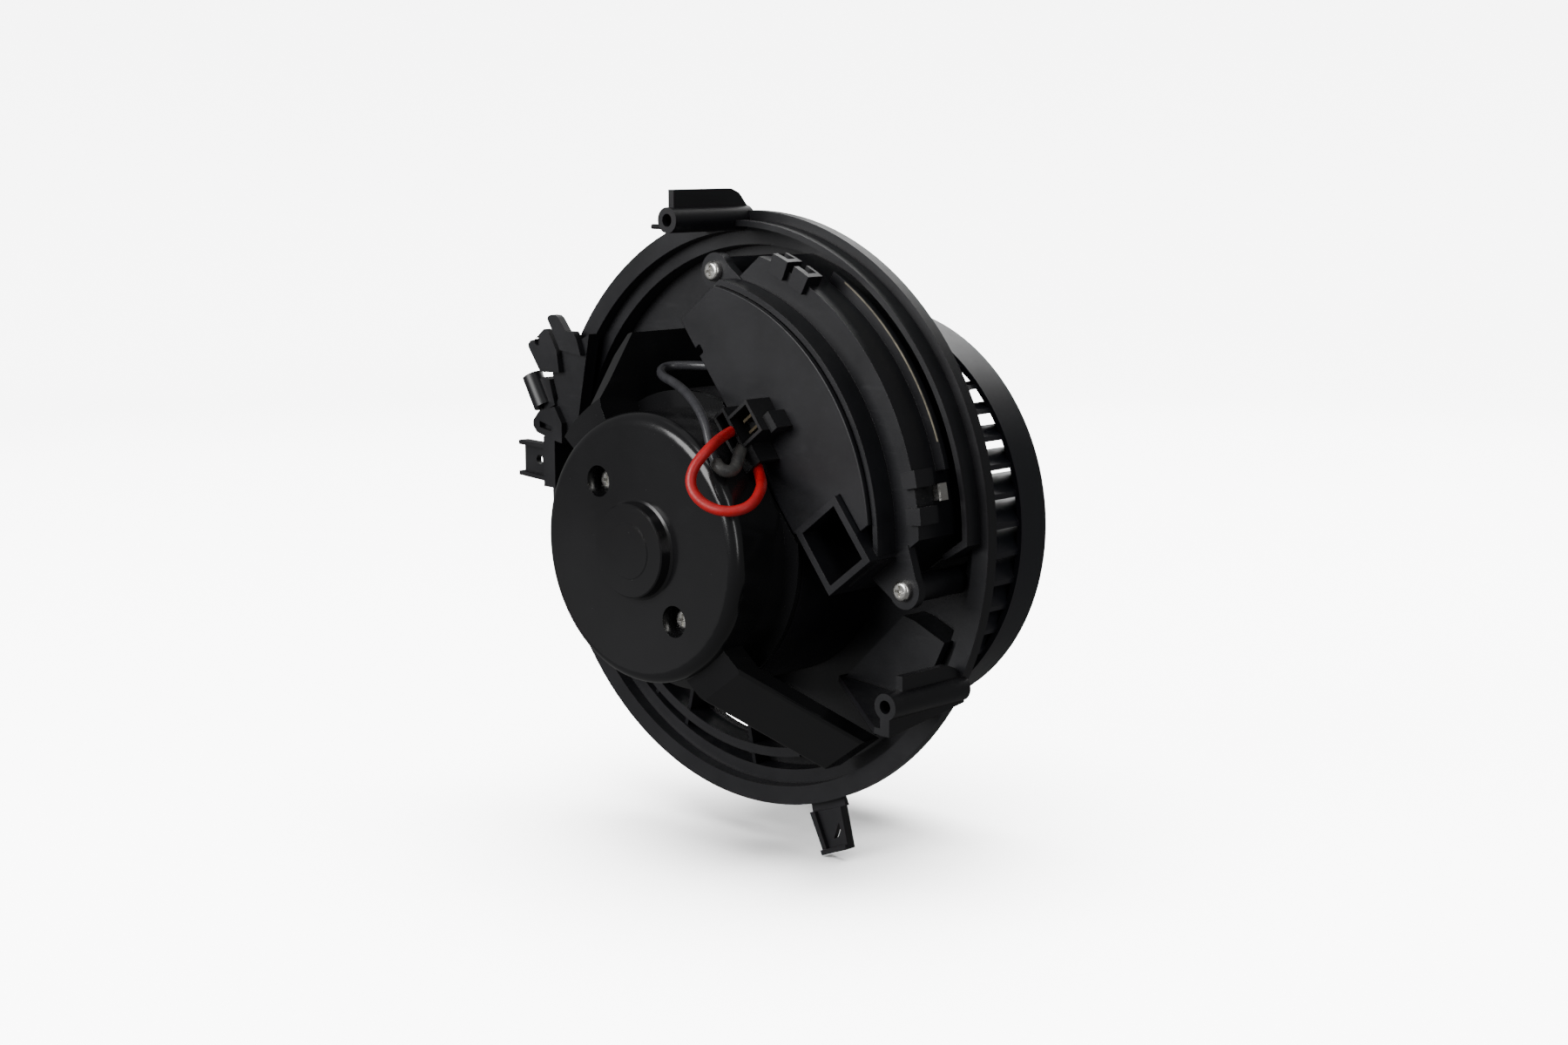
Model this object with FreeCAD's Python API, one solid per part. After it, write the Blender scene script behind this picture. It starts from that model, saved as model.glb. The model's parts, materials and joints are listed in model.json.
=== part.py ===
import FreeCAD, Part
import math
import os

V = FreeCAD.Vector

# Cabin blower unit.  Millimetres.  The origin is the centre of the round mounting flange on its
# front seat plane, +Y runs along the motor axis from the motor cover to the fan wheel, +Z is up.
# Angles are measured in the XZ plane from +X towards +Z.

# ---- motor axis ----
AXIS_Z = -6.7

# ---- mounting flange ----
FLANGE_R = 105.2
FLANGE_DEPTH = 4.5
STEP_R = 98.6
LEDGE_IN_R = 93.4
SPIGOT_R = 95.6
FLOOR_R = 92.8
FLOOR_Y = 11.0
SKIN = 2.5
COLLAR_R = 102.0
COLLAR_WALL = 2.0
COLLAR_H = 7.0
COLLAR_START = 1.0
COLLAR_END = 103.0
CUP_R = 52.0
CUP_BORE_R = 48.5
CUP_Y = -30.6
CUP_MOUTH_R = 44.0
VENT_LIP_IN_R = 85.0
VENT_LIP_OUT_R = 88.4
VENT_LIP_Y = 1.5
VENT_IN_R = 58.0
VENT_OUT_R = 78.0
RIB_ANGLES = (-142, -128, -116, -92)
RIB_T = 1.6

# ---- screw bosses on the flange ----
BOSS_R = 4.4
BOSS_HOLE_R = 2.2
BOSS_FRONT_Y = -36.0
BOSS_HOLE_DEPTH = 22.0
EAR_HOLE = (-108.6, 8.6)
EAR_HOLE_R = 1.8
TOP_BOSS = (-5.3, 102.6)
SIDE_BOSS = (92.4, -49.6)
TOP_FIN_H = 10.2
SIDE_FIN_H = 9.0
FIN_T = 2.6
TOP_FIN_Y = -34.0
SIDE_FIN_Y = -29.0
PEG_R = 0.9
RIB_FOOT = (42.2, -54.9)
RIB_HEAD = (87.8, -58.9)
RIB_THICK = 2.2
PAD_CORNERS = ((69.7, -28.2), (74.5, -29.3), (87.4, -35.0), (84.0, -42.0), (76.0, -55.5), (57.5, -71.5),
               (42.2, -54.9))
PAD_WALL = 2.2

# ---- motor ----
CAN_R = 40.0
CAN_WALL = 2.2
CAN_Y = (-44.0, 22.0)
MAGNET_R = 31.6
MAGNET_Y = (-26.0, 12.0)
MAGNET_ARC = 132
CORE_R = 30.8
CORE_Y = (-22.0, 8.0)
SLOTS = 12
SHAFT_R = 4.0
SHAFT_Y = (-50.5, 58.0)
BEARING_R = 8.0
BEARING_GAP = 0.03
COMM_R = 11.0
COMM_Y = (-39.5, -30.5)
ISOLATOR_ANGLES = (200, 320, 90)
ISOLATOR_ARC = 34

BRUSH_ANGLES = (90.0, 270.0)
BRUSH_W = 5.8
BRUSH_GAP = 0.3
BRUSH_TAIL_R = 22.5

# ---- motor cover ----
COVER_R = 46.2
COVER_FRONT_Y = -56.5
COVER_WALL = 2.2
COVER_FILLET = 4.6
COVER_BOSS_R = 17.3
COVER_PLATEAU_R = 16.0
COVER_BOSS_Y = -61.0
COVER_SCREW_R = 28.4
COVER_SCREW_ANGLES = (131, -52)
COVER_WELL_R = 5.4
ARM_ANGLE = -54.4
ARM_END_R = 88.0
ARM_SHOULDER_R = 54.0
ARM_ROOT_Y = -50.8
ARM_SHOULDER_Y = -48.2
ARM_END_Y = -9.6
ARM_W = 21.6
ARM_T = 2.4
ARM_H = 9.0
ARM_EDGE_R = 1.3
BOX_R = 54.4
BOX_Y = -50.2
BOX_ARC = (117.2, 24.0)
STRUT_END_R = 76.5

# ---- fan wheel ----
WHEEL_R = 75.1
WHEEL_RIM_Y = (57.6, 71.8)
WHEEL_BACK_Y = 17.4
WHEEL_SEAM_R = 61.0
HUB_RIBS = 6
BLADES = 45
BLADE_IN_R = 62.0
BLADE_OUT_R = 73.6
BLADE_T = 1.3
BLADE_STEPS = 4
BLADE_START = 1.5
BLADE_SWEEP = -6.5
BALANCED_BLADE = 6
CLIP_T = 0.6
CLIP_Y = (36.0, 43.0)

# ---- controller ----
EDGE_ANGLE = -52.3
LID_Y = (-33.0, -31.0)
LID_R = 82.5
LID_V = 44.5
BODY_V = 53.2
UPPER_R = 84.6
BODY_R = 94.2
SHELF_Y = -22.0
BODY_END_Y = 4.2
BASE_END_Y = 8.0
BODY_U = (-62.5, 50.0)
BODY_WALL = 2.0
LUG_R = 6.3
LUG_UPPER = (4.1, 85.4)
LUG_LOWER = (88.7, -14.0)
LUG_Y = (-22.6, -19.2)
SOCKET_U = (24.6, 49.4)
SOCKET_V = (47.6, 69.6)
SOCKET_Y = (-35.5, -8.0)
SOCKET_WALL = 2.4
SOCKET_WAYS = 4
SOCKET_PITCH = 4.2
SINK_IN_R = 76.6
SINK_OUT_R = 88.0
SINK_FIN = (10.4, 8.5)
SPRING_R = 99.4
SPRING_T = 0.8
SPRING_Y = (-15.6, -12.0)
SPRING_ARC = (9.0, 3.2)
PLUG_Y = (-44.0, -33.0)
PLUG_FLOOR_Y = -36.4
PLUG_WALL = 1.1
SMALL_CELL = ((-21.5, -7.0), (46.7, 52.6))
LARGE_CELL = ((-17.8, -5.9), (51.5, 62.9))
HOOD = ((-7.2, 1.0), (46.7, 54.5), (-42.5, -33.0))
BLADE_THICK = 0.9
BLADE_HALF = 2.2
RIM_R = 98.2
RIM_IN_R = 92.0
RIM_Y = (-10.0, -7.8)
RIM_ARC = (14.6, 47.0)
SEAL_ARC = (20.0, 38.0)
CLIP_TOP = (97.8, -24.0, -16.8)
CLIP_STARTS = (60.5, 66.5)
CLIP_ARC = 4.2
SIDE_RIB_R = 97.0
SIDE_RIB_Y = (-24.0, -15.0)
SIDE_RIB_STARTS = (12.0, 4.8)
SIDE_RIB_ARC = 3.4

# ---- leads ----
RED_R = 1.8
BLACK_R = 1.6
SLEEVE_R = 2.1
SLEEVE_RUNS = 4
RED_POINTS = [
    (29.8, -36.6, 35.6), (33.2, -47.7, 34.5), (37.3, -59.2, 31.5), (34.6, -64.4, 25.2),
    (35.4, -66.6, 19.0), (40.8, -65.9, 13.8), (48.4, -63.0, 11.7), (53.5, -57.0, 13.4),
    (50.9, -49.0, 18.3), (42.8, -41.0, 20.4), (35.2, -36.8, 27.1),
]
BLACK_POINTS = [
    (33.1, -38.5, 30.9), (37.2, -45.4, 28.6), (41.2, -51.4, 23.2), (38.8, -56.0, 23.7),
    (33.4, -54.4, 28.6), (27.9, -51.4, 38.0), (18.4, -47.6, 44.6), (5.1, -42.0, 48.5),
    (-9.4, -36.0, 50.1), (-14.1, -29.5, 52.5), (-6.6, -22.4, 52.6), (8.3, -18.2, 52.8),
    (21.4, -13.6, 55.0),
]


def polar(r, deg, cx=0.0, cz=0.0):
    """Point in the XZ plane at a radius and an angle."""
    a = math.radians(deg)
    return cx + r * math.cos(a), cz + r * math.sin(a)


def revolve(profile, cz=AXIS_Z, cx=0.0, start=0.0, sweep=360.0):
    """Solid of revolution about a line along Y; the profile is a closed list of (r, y)."""
    pts = [V(cx + r, y, cz) for r, y in profile]
    face = Part.Face(Part.makePolygon(pts + [pts[0]]))
    solid = face.revolve(V(cx, 0, cz), V(0, -1, 0), sweep)
    solid.rotate(V(cx, 0, cz), V(0, -1, 0), start)
    return solid


def ring(r_out, r_in, y0, y1, cz=AXIS_Z, cx=0.0, start=0.0, sweep=360.0):
    profile = [(r_in, y0), (r_out, y0), (r_out, y1), (r_in, y1)]
    return revolve(profile, cz, cx, start, sweep)


def cyl(r, y0, y1, cx=0.0, cz=AXIS_Z):
    return Part.makeCylinder(r, y1 - y0, V(cx, y0, cz), V(0, 1, 0))


def prism(points, y0, y1):
    """Polygon in the XZ plane carried from y0 to y1."""
    pts = [V(x, y0, z) for x, z in points]
    face = Part.Face(Part.makePolygon(pts + [pts[0]]))
    return face.extrude(V(0, y1 - y0, 0))


def side_prism(points, width, deg):
    """Polygon of (r, y) in the radial plane at an angle, given a width across that plane."""
    pts = [V(r, y, -width / 2) for r, y in points]
    face = Part.Face(Part.makePolygon(pts + [pts[0]]))
    solid = face.extrude(V(0, 0, width))
    solid.rotate(V(0, 0, 0), V(0, -1, 0), deg)
    solid.translate(V(0, 0, AXIS_Z))
    return solid


def block_uv(u, v, y):
    """Box whose sides follow the controller's straight edge; u runs along it, v away from it."""
    return prism([uv(u[0], v[0]), uv(u[1], v[0]), uv(u[1], v[1]), uv(u[0], v[1])], y[0], y[1])


def uv(u, v):
    a = math.radians(EDGE_ANGLE)
    x = u * math.cos(a) - v * math.sin(a)
    z = u * math.sin(a) + v * math.cos(a)
    return x, z + AXIS_Z


def join(first, *others):
    out = first
    for piece in others:
        out = out.fuse(piece)
    return out.removeSplitter()


def save(name, shape):
    solids = shape.Solids
    out = solids[0] if len(solids) == 1 else Part.makeCompound(solids)
    out.exportStep(os.path.join("parts", name + ".step"))
    print(name, len(solids), round(sum(s.Volume for s in solids) / 1000, 2))


# ------------------------------------------------------------------ flange

def flange_dish():
    outer = FLANGE_DEPTH + SKIN
    inside_cup = CUP_R / 2
    profile = [
        (inside_cup, FLOOR_Y), (FLOOR_R, FLOOR_Y), (LEDGE_IN_R, FLANGE_DEPTH),
        (STEP_R - 0.3, FLANGE_DEPTH), (STEP_R, 0.0), (FLANGE_R, 0.0),
        (FLANGE_R, FLANGE_DEPTH), (FLANGE_R - 2.2, FLANGE_DEPTH), (FLANGE_R - 2.4, SKIN),
        (STEP_R + 2.2, SKIN), (STEP_R + 2.0, outer), (SPIGOT_R, outer),
        (SPIGOT_R, FLOOR_Y + SKIN), (inside_cup, FLOOR_Y + SKIN),
    ]
    dish = revolve(profile, cz=0.0)
    return dish.cut(cyl(CUP_R - 0.5, FLOOR_Y - 5, FLOOR_Y + 10))


def motor_cup():
    profile = [
        (CUP_BORE_R, CUP_Y), (CUP_R, CUP_Y), (CUP_R, FLOOR_Y + SKIN),
        (CUP_MOUTH_R, FLOOR_Y + SKIN), (CUP_MOUTH_R, FLOOR_Y), (CUP_BORE_R, FLOOR_Y),
    ]
    return revolve(profile)


def screw_boss(centre, fin_height, fin_y):
    x, z = centre
    tube = cyl(BOSS_R, BOSS_FRONT_Y, SKIN, x, z)
    half = FIN_T / 2
    top = z + fin_height
    fin_side = [
        V(x - half, fin_y, z), V(x - half, fin_y, top), V(x - half, -6.0, top),
        V(x - half, -2.0, top - 1.6), V(x - half, SKIN, z + fin_height * 0.35), V(x - half, SKIN, z),
    ]
    fin = Part.Face(Part.makePolygon(fin_side + [fin_side[0]])).extrude(V(FIN_T, 0, 0))
    return tube.fuse(fin)


def boss_foot(centre):
    """Gusset that carries a screw boss down to the flange."""
    x, z = centre
    r = math.hypot(x, z)
    deg = math.degrees(math.atan2(z, x))
    pts = [V(STEP_R + 0.6, SKIN, -1.3), V(r, SKIN, -1.3), V(r, -30.0, -1.3), V(r - 1.0, -30.0, -1.3)]
    web = Part.Face(Part.makePolygon(pts + [pts[0]])).extrude(V(0, 0, 2.6))
    web.rotate(V(0, 0, 0), V(0, -1, 0), deg)
    return web


def gusset(deg):
    pts = [
        (CUP_R - 1.5, -4.0), (CUP_R + 2.0, -3.6), (86.4, FLANGE_DEPTH - 0.4),
        (86.4, FLOOR_Y + 1.0), (CUP_R - 1.5, FLOOR_Y + 1.0),
    ]
    return side_prism(pts, RIB_T, deg)


def vent_opening(start, sweep):
    return ring(VENT_OUT_R, VENT_IN_R, FLOOR_Y - 2, FLOOR_Y + SKIN + 2, AXIS_Z, 0.0, start, sweep)


def side_bracket():
    """Left fixing ear: a plate with two side flanges and one screw hole."""
    ear = prism([(-117.0, 3.0), (-99.0, 2.0), (-99.0, 14.2), (-117.0, 14.8)], -3.4, -0.9)
    low = prism([(-118.0, 2.2), (-99.0, 0.8), (-99.0, 2.4), (-118.0, 3.8)], -5.6, -0.9)
    high = prism([(-118.0, 14.0), (-99.0, 13.4), (-99.0, 15.0), (-118.0, 15.6)], -5.6, -0.9)
    root = prism([(-103.8, -1.0), (-97.5, -1.0), (-97.5, 22.0), (-103.8, 18.0)], -5.6, 2.0)
    hole = cyl(EAR_HOLE_R, -12, 6, *EAR_HOLE)
    return join(ear, low, high, root).cut(hole)


def cable_holder():
    """Connector holder on the upper left rim: base plate, notched post, finger, cradle and hook."""
    base = prism([(-88.0, 18.0), (-97.0, 19.0), (-100.0, 26.0), (-97.5, 33.0), (-100.5, 42.0),
                  (-95.0, 51.0), (-86.0, 55.0), (-80.0, 58.0)], -3.5, 2.0)
    post = prism([(-104.6, 42.6), (-111.1, 51.7), (-111.1, 52.9), (-109.8, 54.2), (-107.6, 54.6),
                  (-102.3, 58.9), (-100.1, 58.8), (-95.4, 51.4), (-94.0, 43.0)], -6.0, -3.0)
    notch = Part.makeCylinder(1.5, 3.0, V(-106.0, -7.4, 54.0), V(0, 1, 0))
    finger = prism([(-93.4, 51.6), (-99.0, 61.0), (-100.2, 62.8), (-99.6, 64.0), (-98.0, 64.5),
                    (-95.4, 64.4), (-94.0, 63.6), (-89.9, 58.7), (-86.0, 58.7), (-84.2, 56.2),
                    (-82.0, 50.0)], -6.0, -3.0)
    along = V(0.496, 0, -0.868)
    barrel = Part.makeCylinder(4.0, 13.0, V(-111.2, -4.0, 40.8), along)
    bore = Part.makeCylinder(2.3, 15.0, V(-111.7, -2.6, 41.7), along)
    saddle = prism([(-111.0, 35.4), (-106.4, 27.0), (-98.0, 30.4), (-101.0, 40.0), (-105.0, 40.5)], -4.8, 1.0)
    hook = prism([(-93.0, 16.4), (-96.9, 17.1), (-107.0, 19.5), (-109.1, 21.9), (-109.1, 23.9),
                  (-105.8, 27.6), (-97.0, 30.0), (-93.0, 24.0)], -6.0, 1.0)
    hook_slot = prism([(-105.4, 21.6), (-98.0, 20.2), (-98.0, 22.2), (-105.4, 24.0)], -7.0, -3.6)
    cradle = barrel.fuse(saddle).cut(bore)
    return join(base, post.cut(notch), finger, cradle, hook.cut(hook_slot))


def snap_arm():
    """Latch arm below the rim: a channel with a slotted toe, relieved where the rim's edge runs past."""
    plate = prism([(24.0, -97.5), (34.4, -118.6), (45.6, -114.3), (40.2, -93.5)], 1.6, 3.6)
    wall = prism([(38.2, -94.0), (43.8, -115.0), (45.6, -114.3), (40.2, -93.5)], 0.0, 3.6)
    wall_low = prism([(24.0, -97.5), (34.4, -118.6), (36.2, -117.9), (26.2, -96.6)], 0.0, 3.6)
    slot = prism([(37.6, -112.4), (39.4, -111.7), (41.4, -106.8), (39.6, -106.4)], -2, 7)
    toe = prism([(33.6, -117.0), (34.4, -118.6), (45.6, -114.3), (45.1, -112.6)], -1.2, 3.6)
    relief = ring(FLANGE_R + 3.0, FLANGE_R, -2.0, 2.7, 0.0)
    bridge = ring(FLANGE_R + 3.2, FLANGE_R - 1.0, 2.7, FLANGE_DEPTH, 0.0, 0.0, -75.8, 8.6)
    return join(plate, wall, wall_low, toe).cut(slot).cut(relief).fuse(bridge)


def lug_post(centre):
    x, z = centre
    post = cyl(4.6, LUG_Y[1], FLOOR_Y + 1, x, z)
    return post.cut(cyl(1.9, LUG_Y[1] - 1, LUG_Y[1] + 16, x, z))


def shrunk(points, wall):
    """The outline moved in by about a wall's thickness, towards its middle."""
    cx = sum(x for x, z in points) / len(points)
    cz = sum(z for x, z in points) / len(points)
    reach = min(math.hypot(x - cx, z - cz) for x, z in points)
    k = 1.0 - 1.6 * wall / reach
    return [(cx + k * (x - cx), cz + k * (z - cz)) for x, z in points]


def corner_pad():
    """Raised pad in the dish beside the lower boss, cored out from behind."""
    return prism(PAD_CORNERS, 0.0, FLOOR_Y + 1)


def pad_core():
    return prism(shrunk(PAD_CORNERS, PAD_WALL), PAD_WALL, FLOOR_Y + SKIN + 1)


def boss_rib():
    """Sloping rib that carries the lower boss: from the dish floor up to the boss's mouth."""
    foot = V(RIB_FOOT[0], 0, RIB_FOOT[1])
    along = V(RIB_HEAD[0], 0, RIB_HEAD[1]) - foot
    run = along.Length
    side = [(0.0, -1.5), (run, BOSS_FRONT_Y), (run + 4.5, BOSS_FRONT_Y), (run + 3.0, -28.0), (40.5, 2.4),
            (39.0, 5.5), (30.0, 5.5), (30.0, FLOOR_Y + 1), (0.0, FLOOR_Y + 1)]
    along.normalize()
    across = V(-along.z, 0, along.x)
    pts = [foot + along * d + V(0, y, 0) for d, y in side]
    rib = Part.Face(Part.makePolygon(pts + [pts[0]])).extrude(across * RIB_THICK)
    x, z = SIDE_BOSS
    left = x - 2.0
    web = [V(left, BOSS_FRONT_Y, z - 2.0), V(left, BOSS_FRONT_Y, RIB_HEAD[1] - 0.4),
           V(left, 2.4, z - BOSS_R - 0.4), V(left, 2.4, z - 2.0)]
    hanger = Part.Face(Part.makePolygon(web + [web[0]])).extrude(V(3.8, 0, 0))
    return rib.fuse(hanger)


def mounting_flange():
    body = join(flange_dish(), motor_cup())
    collar = ring(COLLAR_R, COLLAR_R - COLLAR_WALL, -COLLAR_H, SKIN / 2, 0.0, 0.0,
                  COLLAR_START, COLLAR_END - COLLAR_START)
    x, z = polar(COLLAR_R - 1.0, COLLAR_START)
    hook = prism([(x + 1, z), (x + 1, z - 1.8), (x - 8.5, z - 7.6), (x - 9.4, z - 6.0), (x - 1, z)],
                 -COLLAR_H, FLANGE_DEPTH + 1)
    body = join(body, collar, hook)
    lip = ring(VENT_LIP_OUT_R, VENT_LIP_IN_R, VENT_LIP_Y, FLOOR_Y + 1, 0.0, 0.0, -150.0, 74.0)
    body = join(body, lip)
    for deg in RIB_ANGLES:
        body = body.fuse(gusset(deg))
    for low, high in zip(RIB_ANGLES[:-1], RIB_ANGLES[1:]):
        body = body.cut(vent_opening(low + 2.0, high - low - 4.0))
    for centre, height, fin_y in ((TOP_BOSS, TOP_FIN_H, TOP_FIN_Y), (SIDE_BOSS, SIDE_FIN_H, SIDE_FIN_Y)):
        body = body.fuse(screw_boss(centre, height, fin_y)).fuse(boss_foot(centre))
    for centre in (LUG_UPPER, LUG_LOWER):
        body = body.fuse(lug_post(centre))
    peg_start = V(TOP_BOSS[0] - 9.4, BOSS_FRONT_Y + 2.5, TOP_BOSS[1] - 2.4)
    peg = Part.makeCylinder(PEG_R, 6.0, peg_start, V(1, 0, 0))
    body = join(body, side_bracket(), cable_holder(), snap_arm(), peg, boss_rib())
    body = body.fuse(corner_pad()).cut(pad_core())
    for x, z in (TOP_BOSS, SIDE_BOSS):
        body = body.cut(cyl(BOSS_HOLE_R, BOSS_FRONT_Y - 1, BOSS_FRONT_Y + BOSS_HOLE_DEPTH, x, z))
    for x, z in (LUG_UPPER, LUG_LOWER):
        body = body.cut(cyl(1.9, LUG_Y[1] - 1, LUG_Y[1] + 16, x, z))
    return body.cut(sink_window(0.4, FLOOR_Y - 0.5, FLOOR_Y + SKIN + 1)).removeSplitter()


def sink_window(gap, y0, y1):
    return ring(SINK_OUT_R + gap, SINK_IN_R - gap, y0, y1, 0.0, 0.0, 12.0 - gap, 60.0 + 2 * gap)


# ------------------------------------------------------------------ cover

def arm_band(top, bottom, width, end_r):
    """Sloping band from the cover's rim to the dish, drawn in the radial plane."""
    slope = (ARM_END_Y - ARM_SHOULDER_Y) / (ARM_END_R - ARM_SHOULDER_R)
    end_y = ARM_SHOULDER_Y + slope * (end_r - ARM_SHOULDER_R)
    upper = [(40.0, ARM_ROOT_Y), (46.0, ARM_ROOT_Y), (ARM_SHOULDER_R, ARM_SHOULDER_Y), (end_r, end_y)]
    pts = [(r, y + top) for r, y in upper] + [(r, y + bottom) for r, y in upper[::-1]]
    return side_prism(pts, width, ARM_ANGLE)


def lower_arm():
    """Broad channel that slopes back from the cover's rim to the dish."""
    solid = arm_band(0.0, ARM_H, ARM_W, ARM_END_R)
    middle_y = (ARM_SHOULDER_Y + ARM_END_Y + ARM_H) / 2
    crests = [e for e in solid.Edges if e.Length > 2 * ARM_W and e.CenterOfMass.y < middle_y]
    solid = solid.makeFillet(ARM_EDGE_R, crests)
    hollow = arm_band(ARM_T, ARM_H + 8, ARM_W - 2 * ARM_T, ARM_END_R - ARM_T)
    return solid.cut(hollow).cut(cyl(COVER_R - 0.8, -80, 20))


def upper_arm():
    """Box beside the cover's rim with a narrow strut that slopes back from one end."""
    box_end = CUP_Y - 0.4
    box = ring(BOX_R, COVER_R - 0.8, BOX_Y, box_end, AXIS_Z, 0.0, *BOX_ARC)
    start, sweep = BOX_ARC
    inside = ring(BOX_R - 2.0, COVER_R + 1.0, BOX_Y + 2.0, box_end + 1, AXIS_Z, 0.0, start + 2, sweep - 4)
    drop = STRUT_END_R - BOX_R
    side = revolve([(COVER_R - 0.8, BOX_Y), (BOX_R, BOX_Y), (STRUT_END_R, BOX_Y + drop),
                    (STRUT_END_R, FLOOR_Y - 0.6), (CUP_R + 0.6, FLOOR_Y - 0.6),
                    (CUP_R + 0.6, box_end - 2.0), (COVER_R - 0.8, box_end - 2.0)],
                   start=start - 20, sweep=40)
    plan = [(-22.6, 33.0), (-24.0, 41.4), (-25.1, 47.9), (-30.4, 63.0),
            (-33.2, 62.6), (-33.7, 55.1), (-29.3, 41.7), (-27.0, 33.0)]
    strut = prism(plan, BOX_Y - 1, FLOOR_Y).common(side)
    return box.cut(inside).fuse(strut)


def motor_cover():
    f = COVER_FILLET
    arc = [(COVER_R - f * (1 - math.cos(a)), COVER_FRONT_Y + f * (1 - math.sin(a)))
           for a in [math.radians(k) for k in range(0, 91, 15)]]
    inner_r = COVER_R - COVER_WALL
    inner_y = COVER_FRONT_Y + COVER_WALL
    skirt_end = CUP_Y - 0.4
    profile = [(0.0, COVER_BOSS_Y), (9.4, COVER_BOSS_Y), (9.6, COVER_BOSS_Y + 0.25),
               (COVER_PLATEAU_R - 0.4, COVER_BOSS_Y + 0.25), (COVER_PLATEAU_R, COVER_BOSS_Y + 0.7),
               (COVER_PLATEAU_R + 0.5, COVER_FRONT_Y - 0.5), (COVER_BOSS_R, COVER_FRONT_Y)]
    profile += arc[::-1]
    profile += [(COVER_R, skirt_end - 2.0), (CUP_R, skirt_end - 1.8), (CUP_R, skirt_end),
                (inner_r, skirt_end), (inner_r, inner_y + 3.0), (inner_r - 3.0, inner_y),
                (14.4, inner_y), (13.8, COVER_BOSS_Y + 2.4), (0.0, COVER_BOSS_Y + 2.4)]
    cover = revolve(profile)
    cover = join(cover, lower_arm(), upper_arm())
    for deg in COVER_SCREW_ANGLES:
        x, z = polar(COVER_SCREW_R, deg, 0.0, AXIS_Z)
        cover = cover.fuse(cyl(COVER_WELL_R + 1.6, COVER_FRONT_Y + 1, COVER_FRONT_Y + 8.5, x, z))
        cover = cover.cut(cyl(COVER_WELL_R, COVER_FRONT_Y - 1, COVER_FRONT_Y + 6.5, x, z))
        cover = cover.cut(cyl(2.1, COVER_FRONT_Y - 1, COVER_FRONT_Y + 10, x, z))
    clear = block_uv((-72, 60), (43.7, 100), (COVER_FRONT_Y + 21.8, 0))
    return cover.cut(clear).removeSplitter()


def pan_screw(x, z, y, head_r, head_h, shank_r, length):
    head = cyl(head_r, y, y + head_h, x, z)
    head = head.makeFillet(head_h * 0.55, [e for e in head.Edges if abs(e.CenterOfMass.y - y) < 0.01])
    cross = Part.makeBox(head_r * 1.1, head_h * 0.6, 0.9, V(x - head_r * 0.55, y - 0.01, z - 0.45))
    other = Part.makeBox(0.9, head_h * 0.6, head_r * 1.1, V(x - 0.45, y - 0.01, z - head_r * 0.55))
    shank = cyl(shank_r, y + head_h, y + head_h + length, x, z)
    return head.cut(cross).cut(other).fuse(shank).removeSplitter()


# ------------------------------------------------------------------ motor

def motor_can():
    y0, y1 = CAN_Y
    inner = CAN_R - CAN_WALL
    profile = [(inner, y0), (CAN_R, y0), (CAN_R, y1 - 3.0), (CAN_R - 3.0, y1), (12.0, y1),
               (11.0, y1 + 4.0), (5.6, y1 + 4.0), (5.6, y1 + 1.8), (8.1, y1 + 1.8),
               (8.1, y1 - CAN_WALL), (inner - 1.0, y1 - CAN_WALL), (inner, y1 - CAN_WALL - 1.0)]
    return revolve(profile)


def end_plate():
    y0 = CAN_Y[0] - 2.2
    profile = [(8.1, y0 + 0.4), (8.1, y0 - 4.0), (10.2, y0 - 4.0), (11.0, y0), (CAN_R, y0),
               (CAN_R, CAN_Y[0]), (11.0, CAN_Y[0]), (10.4, y0 + 4.0), (5.2, y0 + 4.0),
               (5.2, y0 + 1.0), (8.1, y0 + 1.0)]
    plate = revolve(profile)
    for deg in COVER_SCREW_ANGLES:
        x, z = polar(COVER_SCREW_R, deg, 0.0, AXIS_Z)
        plate = plate.fuse(cyl(3.6, COVER_FRONT_Y + 8.5, y0 + 0.5, x, z))
        plate = plate.cut(cyl(1.6, COVER_FRONT_Y + 8, y0 + 12, x, z))
    return plate.removeSplitter()


def magnets():
    outer = CAN_R - CAN_WALL
    pieces = []
    for centre in (38.0, 218.0):
        start = centre - MAGNET_ARC / 2
        pieces.append(ring(outer, MAGNET_R, MAGNET_Y[0], MAGNET_Y[1], AXIS_Z, 0.0, start, MAGNET_ARC))
    return Part.makeCompound(pieces)


def magnet_springs():
    """Bow springs wedged between the two magnets."""
    outer = CAN_R - CAN_WALL
    gap = 180 - MAGNET_ARC
    pieces = []
    for centre in (128.0, 308.0):
        bow = ring(outer, outer - 1.0, -22.0, 8.0, AXIS_Z, 0.0, centre - gap / 2, gap)
        for side in (-1, 1):
            start = centre + side * (gap / 2 - 0.8) - 0.8
            bow = bow.fuse(ring(outer, outer - 5.0, -22.0, 8.0, AXIS_Z, 0.0, start, 1.6))
        pieces.append(bow.removeSplitter())
    return Part.makeCompound(pieces)


def sleeve_bearing(y0, y1):
    return ring(BEARING_R, SHAFT_R + BEARING_GAP, y0, y1)


def motor_shaft():
    y0, y1 = SHAFT_Y
    profile = [(0, y0), (SHAFT_R - 0.6, y0), (SHAFT_R, y0 + 0.6), (SHAFT_R, y1 - 0.8),
               (SHAFT_R - 0.8, y1), (0, y1)]
    return revolve(profile)


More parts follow.
